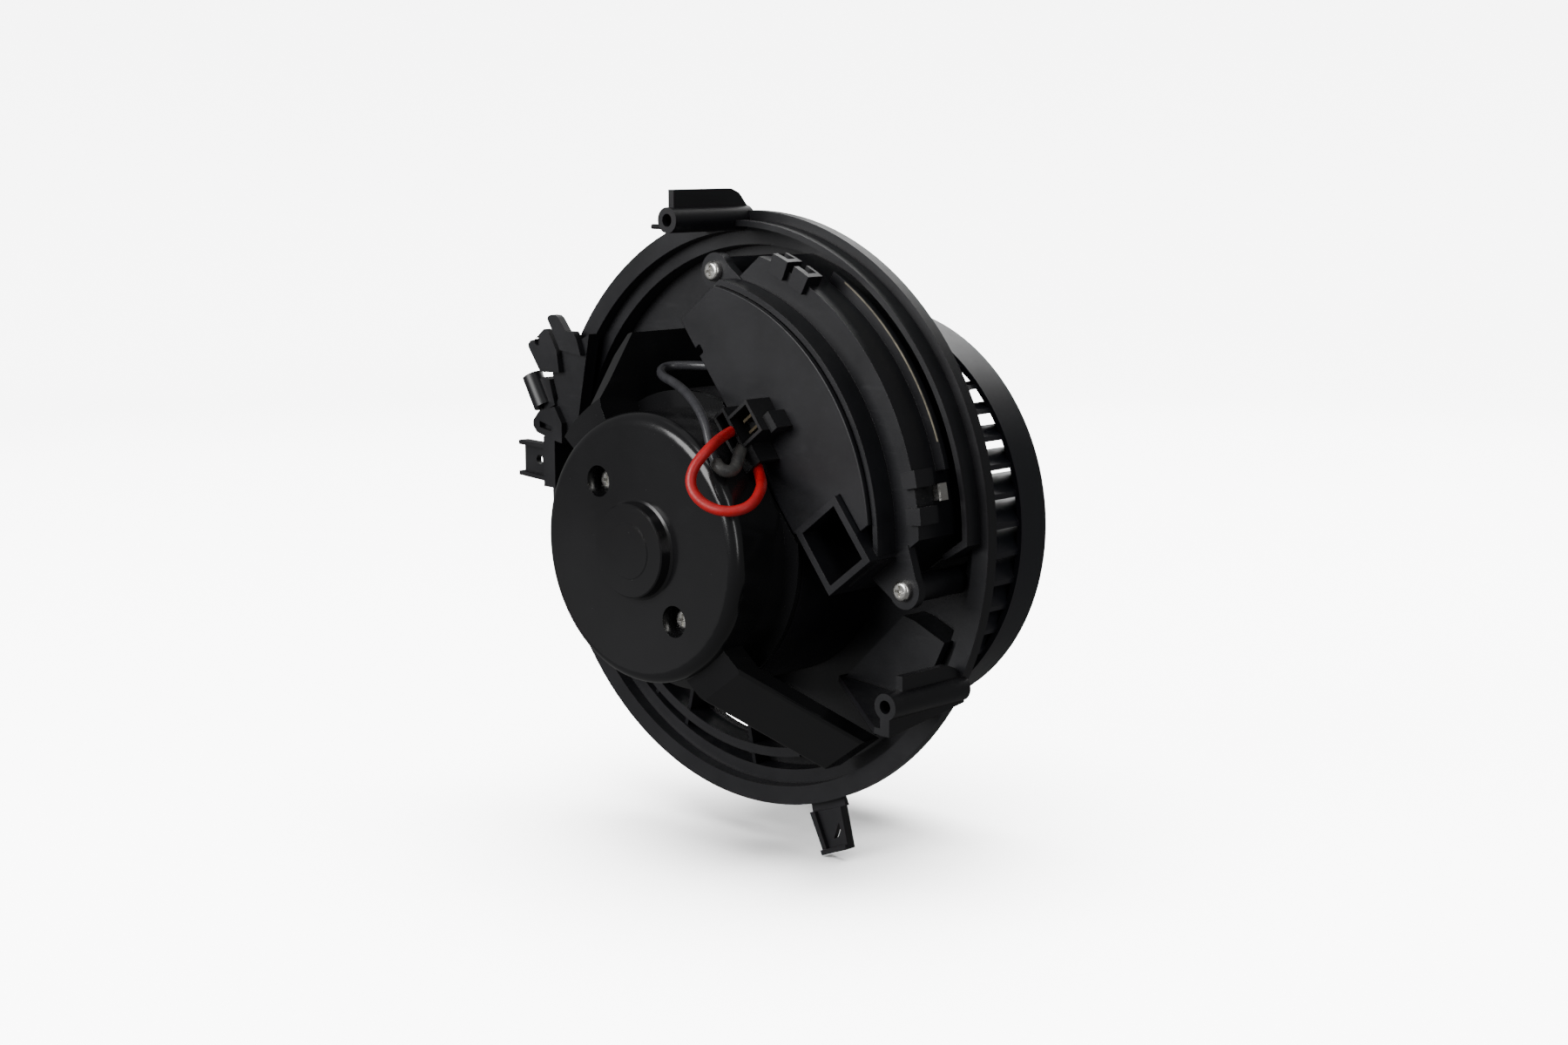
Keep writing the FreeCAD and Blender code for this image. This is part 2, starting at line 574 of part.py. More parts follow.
def armature_core():
    core = ring(CORE_R, SHAFT_R, CORE_Y[0], CORE_Y[1])
    for k in range(SLOTS):
        core = core.cut(slot_space(k, 0.0, CORE_Y[0] - 1, CORE_Y[1] + 1))
        mouth = Part.makeBox(12, CORE_Y[1] - CORE_Y[0] + 2, 2.2, V(24, CORE_Y[0] - 1, -1.1))
        mouth.rotate(V(0, 0, 0), V(0, -1, 0), k * 360 / SLOTS)
        mouth.translate(V(0, 0, AXIS_Z))
        core = core.cut(mouth)
    return core.removeSplitter()


def slot_space(k, inset, y0, y1):
    half_root = 2.2 - inset
    half_top = 4.6 - inset
    pts = [V(15.0 + inset, y0, -half_root), V(27.4 - inset, y0, -half_top),
           V(27.4 - inset, y0, half_top), V(15.0 + inset, y0, half_root)]
    solid = Part.Face(Part.makePolygon(pts + [pts[0]])).extrude(V(0, y1 - y0, 0))
    solid.rotate(V(0, 0, 0), V(0, -1, 0), k * 360 / SLOTS)
    solid.translate(V(0, 0, AXIS_Z))
    return solid


def armature_windings():
    front = revolve([(13.0, CORE_Y[0] - 6.6), (22.0, CORE_Y[0] - 7.4), (27.4, CORE_Y[0] - 4.0),
                     (27.4, CORE_Y[0] - 0.2), (13.0, CORE_Y[0] - 0.2)])
    back = revolve([(12.0, CORE_Y[1] + 0.2), (27.4, CORE_Y[1] + 0.2), (27.4, CORE_Y[1] + 3.6),
                    (22.0, CORE_Y[1] + 6.4), (12.0, CORE_Y[1] + 5.6)])
    coil = front.fuse(back)
    for k in range(SLOTS):
        coil = coil.fuse(slot_space(k, 0.35, CORE_Y[0] - 1, CORE_Y[1] + 1))
    return coil.removeSplitter()


def commutator():
    y0, y1 = COMM_Y
    comm = ring(COMM_R, SHAFT_R, y0, y1)
    comm = comm.fuse(ring(COMM_R + 1.6, SHAFT_R, y1 - 1.6, y1 + 0.6))
    for k in range(SLOTS):
        groove = Part.makeBox(3.0, y1 - y0 + 4, 0.5, V(COMM_R - 1.2, y0 - 1, -0.25))
        groove.rotate(V(0, 0, 0), V(0, -1, 0), (k + 0.5) * 360 / SLOTS)
        groove.translate(V(0, 0, AXIS_Z))
        comm = comm.cut(groove)
    return comm.removeSplitter()


def radial_box(r0, r1, y0, y1, width, deg):
    return side_prism([(r0, y0), (r1, y0), (r1, y1), (r0, y1)], width, deg)


def brush_card():
    card = ring(CAN_R - CAN_WALL, 14.0, -43.2, -40.6)
    for deg in BRUSH_ANGLES:
        card = card.fuse(radial_box(29.0, 31.5, -41.0, -31.0, 9.0, deg))
    return card.removeSplitter()


def brush_holders():
    pieces = []
    for deg in BRUSH_ANGLES:
        outer = radial_box(13.2, 28.8, -40.5, -31.0, BRUSH_W + 2 * BRUSH_GAP + 1.6, deg)
        hole = radial_box(12.0, 30.0, -39.6, -31.9, BRUSH_W + 2 * BRUSH_GAP, deg)
        pieces.append(outer.cut(hole))
    return Part.makeCompound(pieces)


def carbon_brush(deg):
    brush = radial_box(9.0, BRUSH_TAIL_R, -39.6 + BRUSH_GAP, -31.9 - BRUSH_GAP, BRUSH_W, deg)
    return brush.cut(cyl(COMM_R + BRUSH_GAP, -45, -25))


def brush_spring(deg):
    """Round coil spring between the brush tail and the card's stop."""
    first = BRUSH_TAIL_R + 0.35
    length = 29.0 - first - 0.35
    helix = Part.makeHelix(length / 5, length, 2.2)
    start = V(2.2, 0, 0)
    section = Part.Wire(Part.makeCircle(0.3, start, V(0, 1, 0)))
    coil = Part.Wire(helix.Edges).makePipeShell([section], True, True)
    if deg > 180:
        coil.rotate(V(0, 0, 0), V(1, 0, 0), 180)
        coil.translate(V(0, -35.75, AXIS_Z - first))
    else:
        coil.translate(V(0, -35.75, AXIS_Z + first))
    return coil


def isolators():
    pieces = []
    for deg in ISOLATOR_ANGLES:
        pad = ring(CUP_BORE_R, CAN_R, -24.0, FLOOR_Y, AXIS_Z, 0.0, deg - ISOLATOR_ARC / 2, ISOLATOR_ARC)
        for groove_y in (-16.0, -6.0, 4.0):
            pad = pad.cut(ring(CAN_R + 2.0, CAN_R - 1.0, groove_y - 1.5, groove_y + 1.5))
        pieces.append(pad)
    return Part.makeCompound(pieces)


# ------------------------------------------------------------------ fan wheel

def wheel_hub():
    """Hub boss and domed plate that the blade cage is welded to."""
    dome = revolve([
        (SHAFT_R, 30.5), (7.6, 30.5), (8.4, 45.0), (20.0, 42.0), (44.0, 26.5), (54.0, 20.0),
        (WHEEL_SEAM_R, WHEEL_BACK_Y), (WHEEL_SEAM_R, WHEEL_BACK_Y + 2.2), (55.0, 22.4), (45.0, 29.0),
        (21.0, 44.6), (10.0, 47.6), (9.0, 53.0), (SHAFT_R, 53.0),
    ])
    for k in range(HUB_RIBS):
        rib = radial_box(8.6, 20.5, 43.2, 50.0, 1.6, 360.0 / HUB_RIBS * k)
        dome = dome.fuse(rib.cut(revolve([(0, 0), (90, 0), (90, 22), (45, 27.5), (20, 43.5), (0, 46)])))
    return dome.removeSplitter()


def fan_wheel():
    """Blade cage: rear ring, forward-curved blades and the inlet rim."""
    y0 = WHEEL_BACK_Y
    back = ring(BLADE_OUT_R + 0.9, WHEEL_SEAM_R, y0, y0 + 2.2)
    rim = revolve([
        (BLADE_OUT_R - 0.6, WHEEL_RIM_Y[0]), (WHEEL_R, WHEEL_RIM_Y[0]), (WHEEL_R, WHEEL_RIM_Y[1]),
        (BLADE_IN_R + 3.0, WHEEL_RIM_Y[1]), (BLADE_IN_R + 3.0, WHEEL_RIM_Y[1] - 1.6),
        (BLADE_OUT_R - 0.6, WHEEL_RIM_Y[1] - 1.6),
    ])
    return back.fuse(rim).multiFuse([whole_blade(k) for k in range(BLADES)]).removeSplitter()


def blade(k, grow, r0, r1, y0, y1):
    """Stretch of forward-curved blade k, drawn as two curved sides in plan and carried along the axis."""
    deg = BLADE_START + k * 360.0 / BLADES
    inner = []
    outer = []
    for i in range(BLADE_STEPS + 1):
        r = r0 + (r1 - r0) * i / BLADE_STEPS
        t = (r - BLADE_IN_R) / (BLADE_OUT_R - BLADE_IN_R)
        swing = deg + BLADE_SWEEP * t * t
        half = math.degrees((BLADE_T / 2 * (1.0 + 0.5 * t) + grow) / r)
        inner.append(polar(r, swing - half, 0.0, AXIS_Z))
        outer.append(polar(r, swing + half, 0.0, AXIS_Z))
    return prism(inner + outer[::-1], y0, y1)


def whole_blade(k):
    return blade(k, 0.0, BLADE_IN_R, BLADE_OUT_R + 0.2, WHEEL_BACK_Y + 1.2, WHEEL_RIM_Y[1] - 0.8)


def hub_nut():
    pts = [polar(6.4, 60 * k, 0.0, AXIS_Z) for k in range(6)]
    nut = prism(pts, 53.0, 56.6)
    return nut.cut(cyl(SHAFT_R, 50, 60))


def balance_clip():
    """Spring clip folded over the outer edge of one blade."""
    clip = blade(BALANCED_BLADE, CLIP_T, BLADE_OUT_R - 3.6, BLADE_OUT_R + 0.2 + CLIP_T, *CLIP_Y)
    return clip.cut(whole_blade(BALANCED_BLADE))


# ------------------------------------------------------------------ controller

def wedge_region(v0, r, u, y0, y1):
    """Slab between the straight edge and an arc about the flange's centre."""
    return block_uv(u, (v0, 110.0), (y0, y1)).common(cyl(r, y0, y1, 0.0, 0.0))


def lug(centre, y):
    return cyl(LUG_R, y[0], y[1], centre[0], centre[1])


def top_clip(start):
    """Snap lug on the outer wall: a hooked tab with a notch behind its nose."""
    r, y0, y1 = CLIP_TOP
    tab = ring(r, RIM_IN_R - 1.0, y0, y1, 0.0, 0.0, start, CLIP_ARC)
    return tab.cut(ring(r + 1.0, r - 1.5, y0 + 2.4, y1 - 1.2, 0.0, 0.0, start + 1.3, CLIP_ARC))


def outer_rim():
    """Thin rim outside the housing's wall, with the top snap lugs and the side ribs."""
    rim = ring(RIM_R, RIM_IN_R, *RIM_Y, 0.0, 0.0, *RIM_ARC)
    for start in CLIP_STARTS:
        rim = rim.fuse(top_clip(start))
    for start in SIDE_RIB_STARTS:
        rim = rim.fuse(ring(SIDE_RIB_R, RIM_IN_R - 1.0, *SIDE_RIB_Y, 0.0, 0.0, start, SIDE_RIB_ARC))
    return rim


def lug_necks():
    """Flat necks that carry the two screw lugs."""
    upper = prism([uv(-75.0, 54.5), uv(-61.0, 54.0), uv(-61.0, 68.0), uv(-73.0, 64.6)], *LUG_Y)
    lower = prism([uv(49.0, 56.0), uv(60.0, 59.6), uv(61.0, 71.6), uv(49.0, 76.0)], *LUG_Y)
    return upper, lower


def housing_hollow():
    """Inside of the housing: a shallow part under the lid and a deeper part over the heat sink."""
    w = BODY_WALL
    u = (BODY_U[0] + w, BODY_U[1] - w)
    shallow = wedge_region(BODY_V + w, UPPER_R - w, u, LID_Y[1] - 1, SHELF_Y + w)
    deep = wedge_region(BODY_V + w, BODY_R - 2 * w, u, SHELF_Y + w - 0.1, BASE_END_Y + 1)
    return shallow.fuse(deep)


def socket_cavity():
    w = SOCKET_WALL
    return block_uv((SOCKET_U[0] + w, SOCKET_U[1] - w), (SOCKET_V[0] + w, SOCKET_V[1] - w),
                    (SOCKET_Y[0] - 1, SOCKET_Y[1] - w))


def controller_housing():
    upper = wedge_region(BODY_V, UPPER_R, BODY_U, LID_Y[1], SHELF_Y)
    middle = wedge_region(BODY_V, BODY_R, BODY_U, SHELF_Y, BODY_END_Y)
    lower = wedge_region(BODY_V, FLOOR_R - 1.2, BODY_U, BODY_END_Y - 0.5, BASE_END_Y)
    lugs = [lug(centre, LUG_Y) for centre in (LUG_UPPER, LUG_LOWER)]
    body = join(upper, middle, lower, outer_rim(), *lugs, *lug_necks())
    body = join(body.cut(housing_hollow()), block_uv(SOCKET_U, SOCKET_V, SOCKET_Y)).cut(socket_cavity())
    for x, z in (LUG_UPPER, LUG_LOWER):
        body = body.cut(cyl(2.4, LUG_Y[0] - 1, LUG_Y[1] + 1, x, z))
    for k in range(SOCKET_WAYS):
        body = body.cut(terminal(k))
    a, b = (V(*p) for p in BLACK_POINTS[-2:])
    entry = Part.makeCylinder(BLACK_R, 12.0, b - (b - a).normalize() * 8.0, b - a)
    return body.cut(entry).removeSplitter()


def terminal(k):
    """Flat blade through the socket floor."""
    u0 = SOCKET_U[0] + 5.2 + k * SOCKET_PITCH
    v_mid = (SOCKET_V[0] + SOCKET_V[1]) / 2
    return block_uv((u0, u0 + 1.0), (v_mid - 2.6, v_mid + 2.6), (SOCKET_Y[0] + 14.0, SOCKET_Y[1] + 4.0))


def controller_lid():
    lid = wedge_region(LID_V, LID_R, (-61.5, 38.8), *LID_Y)
    notch = block_uv((-80, -48.0), (30.0, LID_V + 0.01), (-40, -20))
    lid = lid.cut(notch)
    lid = lid.cut(block_uv((SOCKET_U[0] - 0.2, SOCKET_U[1] + 0.2), (40.0, SOCKET_V[1] + 0.2), (-40, -20)))
    lid = lid.cut(block_uv((-49.6, -46.6), (40.0, LID_V + 2.4), (-40, -20)))
    return lid.removeSplitter()


def circuit_board():
    w = BODY_WALL + 0.4
    return wedge_region(BODY_V + w, BODY_R - 3 * w, (BODY_U[0] + w, SOCKET_U[0] - 1.5), -6.6, -5.0)


def power_transistor():
    body = block_uv((-20.0, -4.0), (66.0, 76.0), (2.2, 7.4))
    tab = block_uv((-20.0, -4.0), (76.0, 82.0), (6.0, 7.4))
    legs = [block_uv((-17.5 + k * 5, -16.3 + k * 5), (62.0, 66.0), (4.0, 4.8)) for k in range(3)]
    pins = [block_uv((-17.5 + k * 5, -16.3 + k * 5), (62.0, 62.8), (-5.0, 4.8)) for k in range(3)]
    return join(body, tab, *(legs + pins))


def capacitor():
    """Electrolytic can standing on the board."""
    x, z = uv(-44.0, 66.0)
    can = cyl(6.0, -18.5, -6.6, x, z)
    return can.cut(ring(6.5, 5.6, -9.4, -8.6, z, x))


def heat_sink():
    base = wedge_region(BODY_V + 1.0, FLOOR_R - 0.6, (BODY_U[0] + 0.5, BODY_U[1] - 0.5),
                        BASE_END_Y, FLOOR_Y)
    plug = sink_window(0.0, FLOOR_Y - 0.1, FLOOR_Y + SKIN + 0.6)
    sink = base.fuse(plug)
    for k in range(20):
        deg = 13.6 + k * 3.0
        fin = Part.makeBox(SINK_FIN[0], SINK_FIN[1], 1.5, V(SINK_IN_R + 0.4, FLOOR_Y + SKIN, -0.75))
        fin.rotate(V(0, 0, 0), V(0, -1, 0), deg)
        sink = sink.fuse(fin)
    return sink.removeSplitter()


def retaining_spring():
    """Flat steel snap strip standing on the housing's outer wall."""
    strip = ring(SPRING_R, SPRING_R - SPRING_T, *SPRING_Y, 0.0, 0.0, *SPRING_ARC)
    foot = ring(SPRING_R, BODY_R, SPRING_Y[1] - 1.0, SPRING_Y[1], 0.0, 0.0, *SPRING_ARC)
    return join(strip, foot)


def open_cell(u, v):
    """Connector chamber: a block open to the front, with one thin wall all round."""
    outer = block_uv(u, v, PLUG_Y)
    inner = block_uv((u[0] + PLUG_WALL, u[1] - PLUG_WALL), (v[0] + PLUG_WALL, v[1] - PLUG_WALL),
                     (PLUG_Y[0] - 1.0, PLUG_FLOOR_Y))
    return outer.cut(inner)


def motor_plug():
    """Two chambers side by side, a latch lug at their right and a hood over the lead's way in."""
    cells = open_cell(*SMALL_CELL).fuse(open_cell(*LARGE_CELL))
    lug_right = block_uv((LARGE_CELL[0][1] - 5.0, LARGE_CELL[0][1] + 1.4),
                         (LARGE_CELL[1][1], LARGE_CELL[1][1] + 3.2), (PLUG_Y[0] + 3.4, PLUG_Y[1]))
    u, v, y = HOOD
    hood = block_uv(u, v, y)
    tunnel = block_uv((u[0] + 2.0, u[1] + 1.0), (v[0] - 1.0, v[1] - 1.6), (y[0] + 1.6, y[1] + 1.0))
    plug = join(cells, lug_right, hood.cut(tunnel))
    plug = plug.cut(tube_path(RED_POINTS, RED_R))
    plug = plug.cut(tube_path(BLACK_POINTS, SLEEVE_R, SLEEVE_RUNS))
    return plug.removeSplitter()


def plug_terminals():
    """Two flat blades standing in the large chamber."""
    (u0, u1), (v0, v1) = LARGE_CELL
    middle = (v0 + v1) / 2
    pieces = []
    for u in (u0 + 3.4, u1 - 4.2):
        pieces.append(block_uv((u, u + BLADE_THICK), (middle - BLADE_HALF, middle + BLADE_HALF),
                               (PLUG_Y[0] + 3.0, PLUG_FLOOR_Y)))
    return Part.makeCompound(pieces)


def rim_seal():
    """Thin sealing bead along the front edge of the controller's outer rim."""
    return ring(RIM_R - 0.1, RIM_R - 0.6, RIM_Y[0] - 0.25, RIM_Y[0], 0.0, 0.0, *SEAL_ARC)


# ------------------------------------------------------------------ leads

def tube_path(points, radius, runs=None):
    """Round lead: straight runs joined by tangent arcs, whole or only over its first runs."""
    vecs = [V(*p) for p in points]
    edges = []
    radii = []
    start = vecs[0]
    for before, corner, after in zip(vecs[:-2], vecs[1:-1], vecs[2:]):
        back = before - corner
        ahead = after - corner
        turn = math.pi - back.getAngle(ahead)
        trim = 0.45 * min(back.Length, ahead.Length)
        arc_r = trim / math.tan(turn / 2)
        radii.append(round(arc_r, 1))
        enter = corner + back.normalize() * trim
        leave = corner + ahead.normalize() * trim
        inward = (back + ahead).normalize()
        middle = corner + inward * (math.hypot(arc_r, trim) - arc_r)
        edges.append(Part.makeLine(start, enter))
        edges.append(Part.Arc(enter, middle, leave).toShape())
        start = leave
    edges.append(Part.makeLine(start, vecs[-1]))
    path = Part.Wire(edges if runs is None else edges[:2 * runs - 1])
    section = Part.Wire(Part.makeCircle(radius, vecs[0], vecs[1] - vecs[0]))
    tube = path.makePipeShell([section], True, False)
    print("radii", radii, "length", round(path.Length, 1),
          "volume ratio", round(tube.Volume / (math.pi * radius ** 2 * path.Length), 3))
    return tube


def lead_sleeve():
    """Shrink sleeve over the first stretch of the black lead."""
    return tube_path(BLACK_POINTS, SLEEVE_R, SLEEVE_RUNS).cut(tube_path(BLACK_POINTS, BLACK_R, SLEEVE_RUNS))


def main():
    os.makedirs("parts", exist_ok=True)
    save("mounting_flange", mounting_flange())
    save("motor_cover", motor_cover())
    screws = []
    for deg in COVER_SCREW_ANGLES:
        x, z = polar(COVER_SCREW_R, deg, 0.0, AXIS_Z)
        screws.append(pan_screw(x, z, COVER_FRONT_Y + 4.1, 3.6, 2.4, 1.6, 6.6))
    save("cover_screws", Part.makeCompound(screws))
    save("motor_can", motor_can())
    save("motor_end_plate", end_plate())
    save("field_magnets", magnets())
    save("magnet_springs", magnet_springs())
    save("front_bearing", sleeve_bearing(CAN_Y[0] - 6.0, CAN_Y[0] - 1.4))
    save("rear_bearing", sleeve_bearing(CAN_Y[1] - 6.0, CAN_Y[1] + 1.8))
    save("motor_shaft", motor_shaft())
    save("armature_core", armature_core())
    save("armature_windings", armature_windings())
    save("commutator", commutator())
    save("brush_card", brush_card())
    save("brush_holders", brush_holders())
    for name, deg in zip(("upper", "lower"), BRUSH_ANGLES):
        save(name + "_brush", carbon_brush(deg))
        save(name + "_brush_spring", brush_spring(deg))
    save("rubber_isolators", isolators())
    save("fan_wheel", fan_wheel())
    save("wheel_hub", wheel_hub())
    save("hub_nut", hub_nut())
    save("balance_clip", balance_clip())
    save("controller_housing", controller_housing())
    save("controller_lid", controller_lid())
    save("circuit_board", circuit_board())
    save("power_transistor", power_transistor())
    save("smoothing_capacitor", capacitor())
    save("heat_sink", heat_sink())
    save("socket_terminals", Part.makeCompound([terminal(k) for k in range(SOCKET_WAYS)]))
    screws = [pan_screw(x, z, LUG_Y[0] - 2.4, 3.4, 2.4, 1.9, 13.0) for x, z in (LUG_UPPER, LUG_LOWER)]
    save("controller_screws", Part.makeCompound(screws))
    save("retaining_spring", retaining_spring())
    save("motor_plug", motor_plug())
    save("plug_terminals", plug_terminals())
    save("red_lead", tube_path(RED_POINTS, RED_R))
    save("black_lead", tube_path(BLACK_POINTS, BLACK_R))
    save("lead_sleeve", lead_sleeve())
    save("rim_seal", rim_seal())


main()
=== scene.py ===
"""Cabin blower unit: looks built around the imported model.  Metres; +Y along the motor axis, +Z up."""
import json
import math

import bmesh
import bpy
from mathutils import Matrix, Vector


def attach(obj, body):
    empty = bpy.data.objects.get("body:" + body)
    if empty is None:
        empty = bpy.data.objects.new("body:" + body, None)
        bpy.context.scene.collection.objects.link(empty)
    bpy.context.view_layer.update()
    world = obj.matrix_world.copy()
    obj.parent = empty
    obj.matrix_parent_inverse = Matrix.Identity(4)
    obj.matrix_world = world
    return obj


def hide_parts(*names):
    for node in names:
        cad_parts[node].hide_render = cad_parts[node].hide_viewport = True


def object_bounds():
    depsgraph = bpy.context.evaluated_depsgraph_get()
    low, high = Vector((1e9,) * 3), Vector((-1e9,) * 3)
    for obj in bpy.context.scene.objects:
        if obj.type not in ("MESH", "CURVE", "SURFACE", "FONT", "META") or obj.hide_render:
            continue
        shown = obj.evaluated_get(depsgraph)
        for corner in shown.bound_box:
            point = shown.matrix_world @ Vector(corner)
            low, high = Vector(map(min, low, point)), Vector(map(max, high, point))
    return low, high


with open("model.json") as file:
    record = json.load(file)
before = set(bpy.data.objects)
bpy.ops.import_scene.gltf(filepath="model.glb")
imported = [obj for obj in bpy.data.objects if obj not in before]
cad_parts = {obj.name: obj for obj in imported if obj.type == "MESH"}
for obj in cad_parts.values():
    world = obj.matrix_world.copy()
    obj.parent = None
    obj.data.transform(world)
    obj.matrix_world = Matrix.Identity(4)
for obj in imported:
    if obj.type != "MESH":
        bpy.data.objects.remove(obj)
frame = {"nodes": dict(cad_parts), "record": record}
cad_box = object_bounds()
NODES = frame["nodes"]
MM = 0.001


# ------------------------------------------------------------------ camera

VIEW_AZIMUTH = 42.77                   # degrees round the unit from its motor side
VIEW_ELEVATION = 9.20                  # degrees above level
VIEW_TARGET = (15.17, 0.0, -2.52)      # millimetres
VIEW_DISTANCE = 0.840
LENS = 55.303
SENSOR_WIDTH = 36.0
NEAREST, FARTHEST = 0.05, 20.0


def make_camera():
    azimuth, elevation = math.radians(VIEW_AZIMUTH), math.radians(VIEW_ELEVATION)
    target = Vector(VIEW_TARGET) * MM
    back = Vector((math.sin(azimuth) * math.cos(elevation),
                   -math.cos(azimuth) * math.cos(elevation), math.sin(elevation)))
    data = bpy.data.cameras.new("camera")
    data.lens = LENS
    data.sensor_width = SENSOR_WIDTH
    data.clip_start, data.clip_end = NEAREST, FARTHEST
    cam = bpy.data.objects.new("camera", data)
    cam.location = target + back * VIEW_DISTANCE
    cam.rotation_euler = (-back).to_track_quat("-Z", "Y").to_euler()
    bpy.context.scene.collection.objects.link(cam)
    bpy.context.scene.camera = cam


make_camera()


# ------------------------------------------------------------------ materials

COAT_ROUGHNESS = 0.12
FIRST_COLOUR, SECOND_COLOUR, MIXED_COLOUR = 6, 7, 2     # sockets of a mix node that mixes colours
DUST = (0.16, 0.155, 0.15)
SPECK = (0.08, 0.08, 0.08)
TARNISH_SHADE = 0.62                   # tarnish as a share of the metal's colour, when no tint is given
CAST_SHADE = 0.74                      # darker tone of a casting as a share of its colour


class Shade:
    """One procedural material: a Principled shader with helpers that feed it."""

    def __init__(self, name, colour, roughness, metallic=0.0, specular=0.5, coat=0.0):
        self.mat = bpy.data.materials.new(name)
        self.mat.use_nodes = True
        self.tree = self.mat.node_tree
        self.bsdf = self.tree.nodes["Principled BSDF"]
        self.bsdf.inputs["Base Color"].default_value = (*colour, 1.0)
        self.bsdf.inputs["Roughness"].default_value = roughness
        self.bsdf.inputs["Metallic"].default_value = metallic
        self.bsdf.inputs["Specular IOR Level"].default_value = specular
        if coat:
            self.bsdf.inputs["Coat Weight"].default_value = coat
            self.bsdf.inputs["Coat Roughness"].default_value = COAT_ROUGHNESS
        self.coord = self.tree.nodes.new("ShaderNodeTexCoord").outputs["Object"]
        self.last_normal = None

    def link(self, out, into):
        self.tree.links.new(out, into)

    def stretched(self, scale):
        node = self.tree.nodes.new("ShaderNodeMapping")
        node.inputs["Scale"].default_value = scale
        self.link(self.coord, node.inputs["Vector"])
        return node.outputs["Vector"]

    def noise(self, scale, detail=3.0, rough=0.55, vector=None, distortion=0.0):
        node = self.tree.nodes.new("ShaderNodeTexNoise")
        node.inputs["Scale"].default_value = scale
        node.inputs["Detail"].default_value = detail
        node.inputs["Roughness"].default_value = rough
        node.inputs["Distortion"].default_value = distortion
        self.link(vector or self.coord, node.inputs["Vector"])
        return node.outputs["Fac"]

    def cells(self, scale, feature="F1"):
        node = self.tree.nodes.new("ShaderNodeTexVoronoi")
        node.feature = feature
        node.inputs["Scale"].default_value = scale
        self.link(self.coord, node.inputs["Vector"])
        return node.outputs["Distance"]

    def bands(self, scale, axis, distortion):
        node = self.tree.nodes.new("ShaderNodeTexWave")
        node.wave_type = "BANDS"
        node.bands_direction = axis
        node.inputs["Scale"].default_value = scale
        node.inputs["Distortion"].default_value = distortion
        self.link(self.coord, node.inputs["Vector"])
        return node.outputs["Fac"]

    def span(self, value, low, high, out_low, out_high):
        """The value's stretch from low to high, mapped to out_low and out_high and held there."""
        node = self.tree.nodes.new("ShaderNodeMapRange")
        ends = (("From Min", low), ("From Max", high), ("To Min", out_low), ("To Max", out_high))
        for key, number in ends:
            node.inputs[key].default_value = number
        self.link(value, node.inputs["Value"])
        return node.outputs["Result"]

    def maths(self, operation, a, b):
        node = self.tree.nodes.new("ShaderNodeMath")
        node.operation = operation
        for slot, value in enumerate((a, b)):
            if isinstance(value, (int, float)):
                node.inputs[slot].default_value = value
            else:
                self.link(value, node.inputs[slot])
        return node.outputs[0]

    def mix(self, factor, first, second):
        """Colour mix; each colour is a tuple or the output of another mix."""
        node = self.tree.nodes.new("ShaderNodeMix")
        node.data_type = "RGBA"
        self.link(factor, node.inputs["Factor"])
        for key, value in ((FIRST_COLOUR, first), (SECOND_COLOUR, second)):
            if isinstance(value, tuple):
                node.inputs[key].default_value = (*value, 1.0)
            else:
                self.link(value, node.inputs[key])
        return node.outputs[MIXED_COLOUR]

    def colour(self, out):
        self.link(out, self.bsdf.inputs["Base Color"])

    def rough(self, out):
        self.link(out, self.bsdf.inputs["Roughness"])

    def bump(self, height, distance, strength=1.0):
        node = self.tree.nodes.new("ShaderNodeBump")
        node.inputs["Strength"].default_value = strength
        node.inputs["Distance"].default_value = distance
        self.link(height, node.inputs["Height"])
        if self.last_normal:
            self.link(self.last_normal, node.inputs["Normal"])
        self.last_normal = node.outputs["Normal"]
        self.link(self.last_normal, self.bsdf.inputs["Normal"])

    def facing_up(self):
        """How far the surface looks upwards, from -1 to 1."""
        geometry = self.tree.nodes.new("ShaderNodeNewGeometry")
        split = self.tree.nodes.new("ShaderNodeSeparateXYZ")
        self.link(geometry.outputs["Normal"], split.inputs[0])
        return split.outputs["Z"]


def moulded_plastic(name, dark, light, rough_low, rough_high, grain=0.000004, dust=0.08):
    """Filled moulding: cloudy tone, fine grain, flow waviness, hairline scuffs and a little dust on top."""
    s = Shade(name, dark, (rough_low + rough_high) / 2)
    cloud = s.noise(38.0, 5.0, 0.6)
    fleck = s.noise(1500.0, 2.0, 0.6)
    tone = s.mix(s.span(cloud, 0.35, 0.68, 0.0, 1.0), dark, light)
    tone = s.mix(s.span(fleck, 0.62, 0.75, 0.0, 0.35), tone, tuple(2.2 * c + 0.004 for c in light))
    settle = s.span(s.noise(120.0, 6.0, 0.7), 0.50, 0.78, 0.0, dust)
    on_top = s.span(s.facing_up(), 0.1, 0.95, 0.0, 1.0)
    tone = s.mix(s.maths("MULTIPLY", settle, on_top), tone, DUST)
    s.colour(tone)
    scuff = s.noise(60.0, 3.0, 0.8, s.stretched((1.0, 14.0, 6.0)), 1.2)
    sheen = s.span(cloud, 0.3, 0.7, rough_low, rough_high)
    s.rough(s.maths("ADD", sheen, s.span(scuff, 0.60, 0.72, 0.0, 0.10)))
    s.bump(s.noise(16.0, 1.0, 0.4), 0.00008, 0.4)
    s.bump(s.noise(2600.0, 2.0, 0.5), grain, 0.8)
    return s.mat


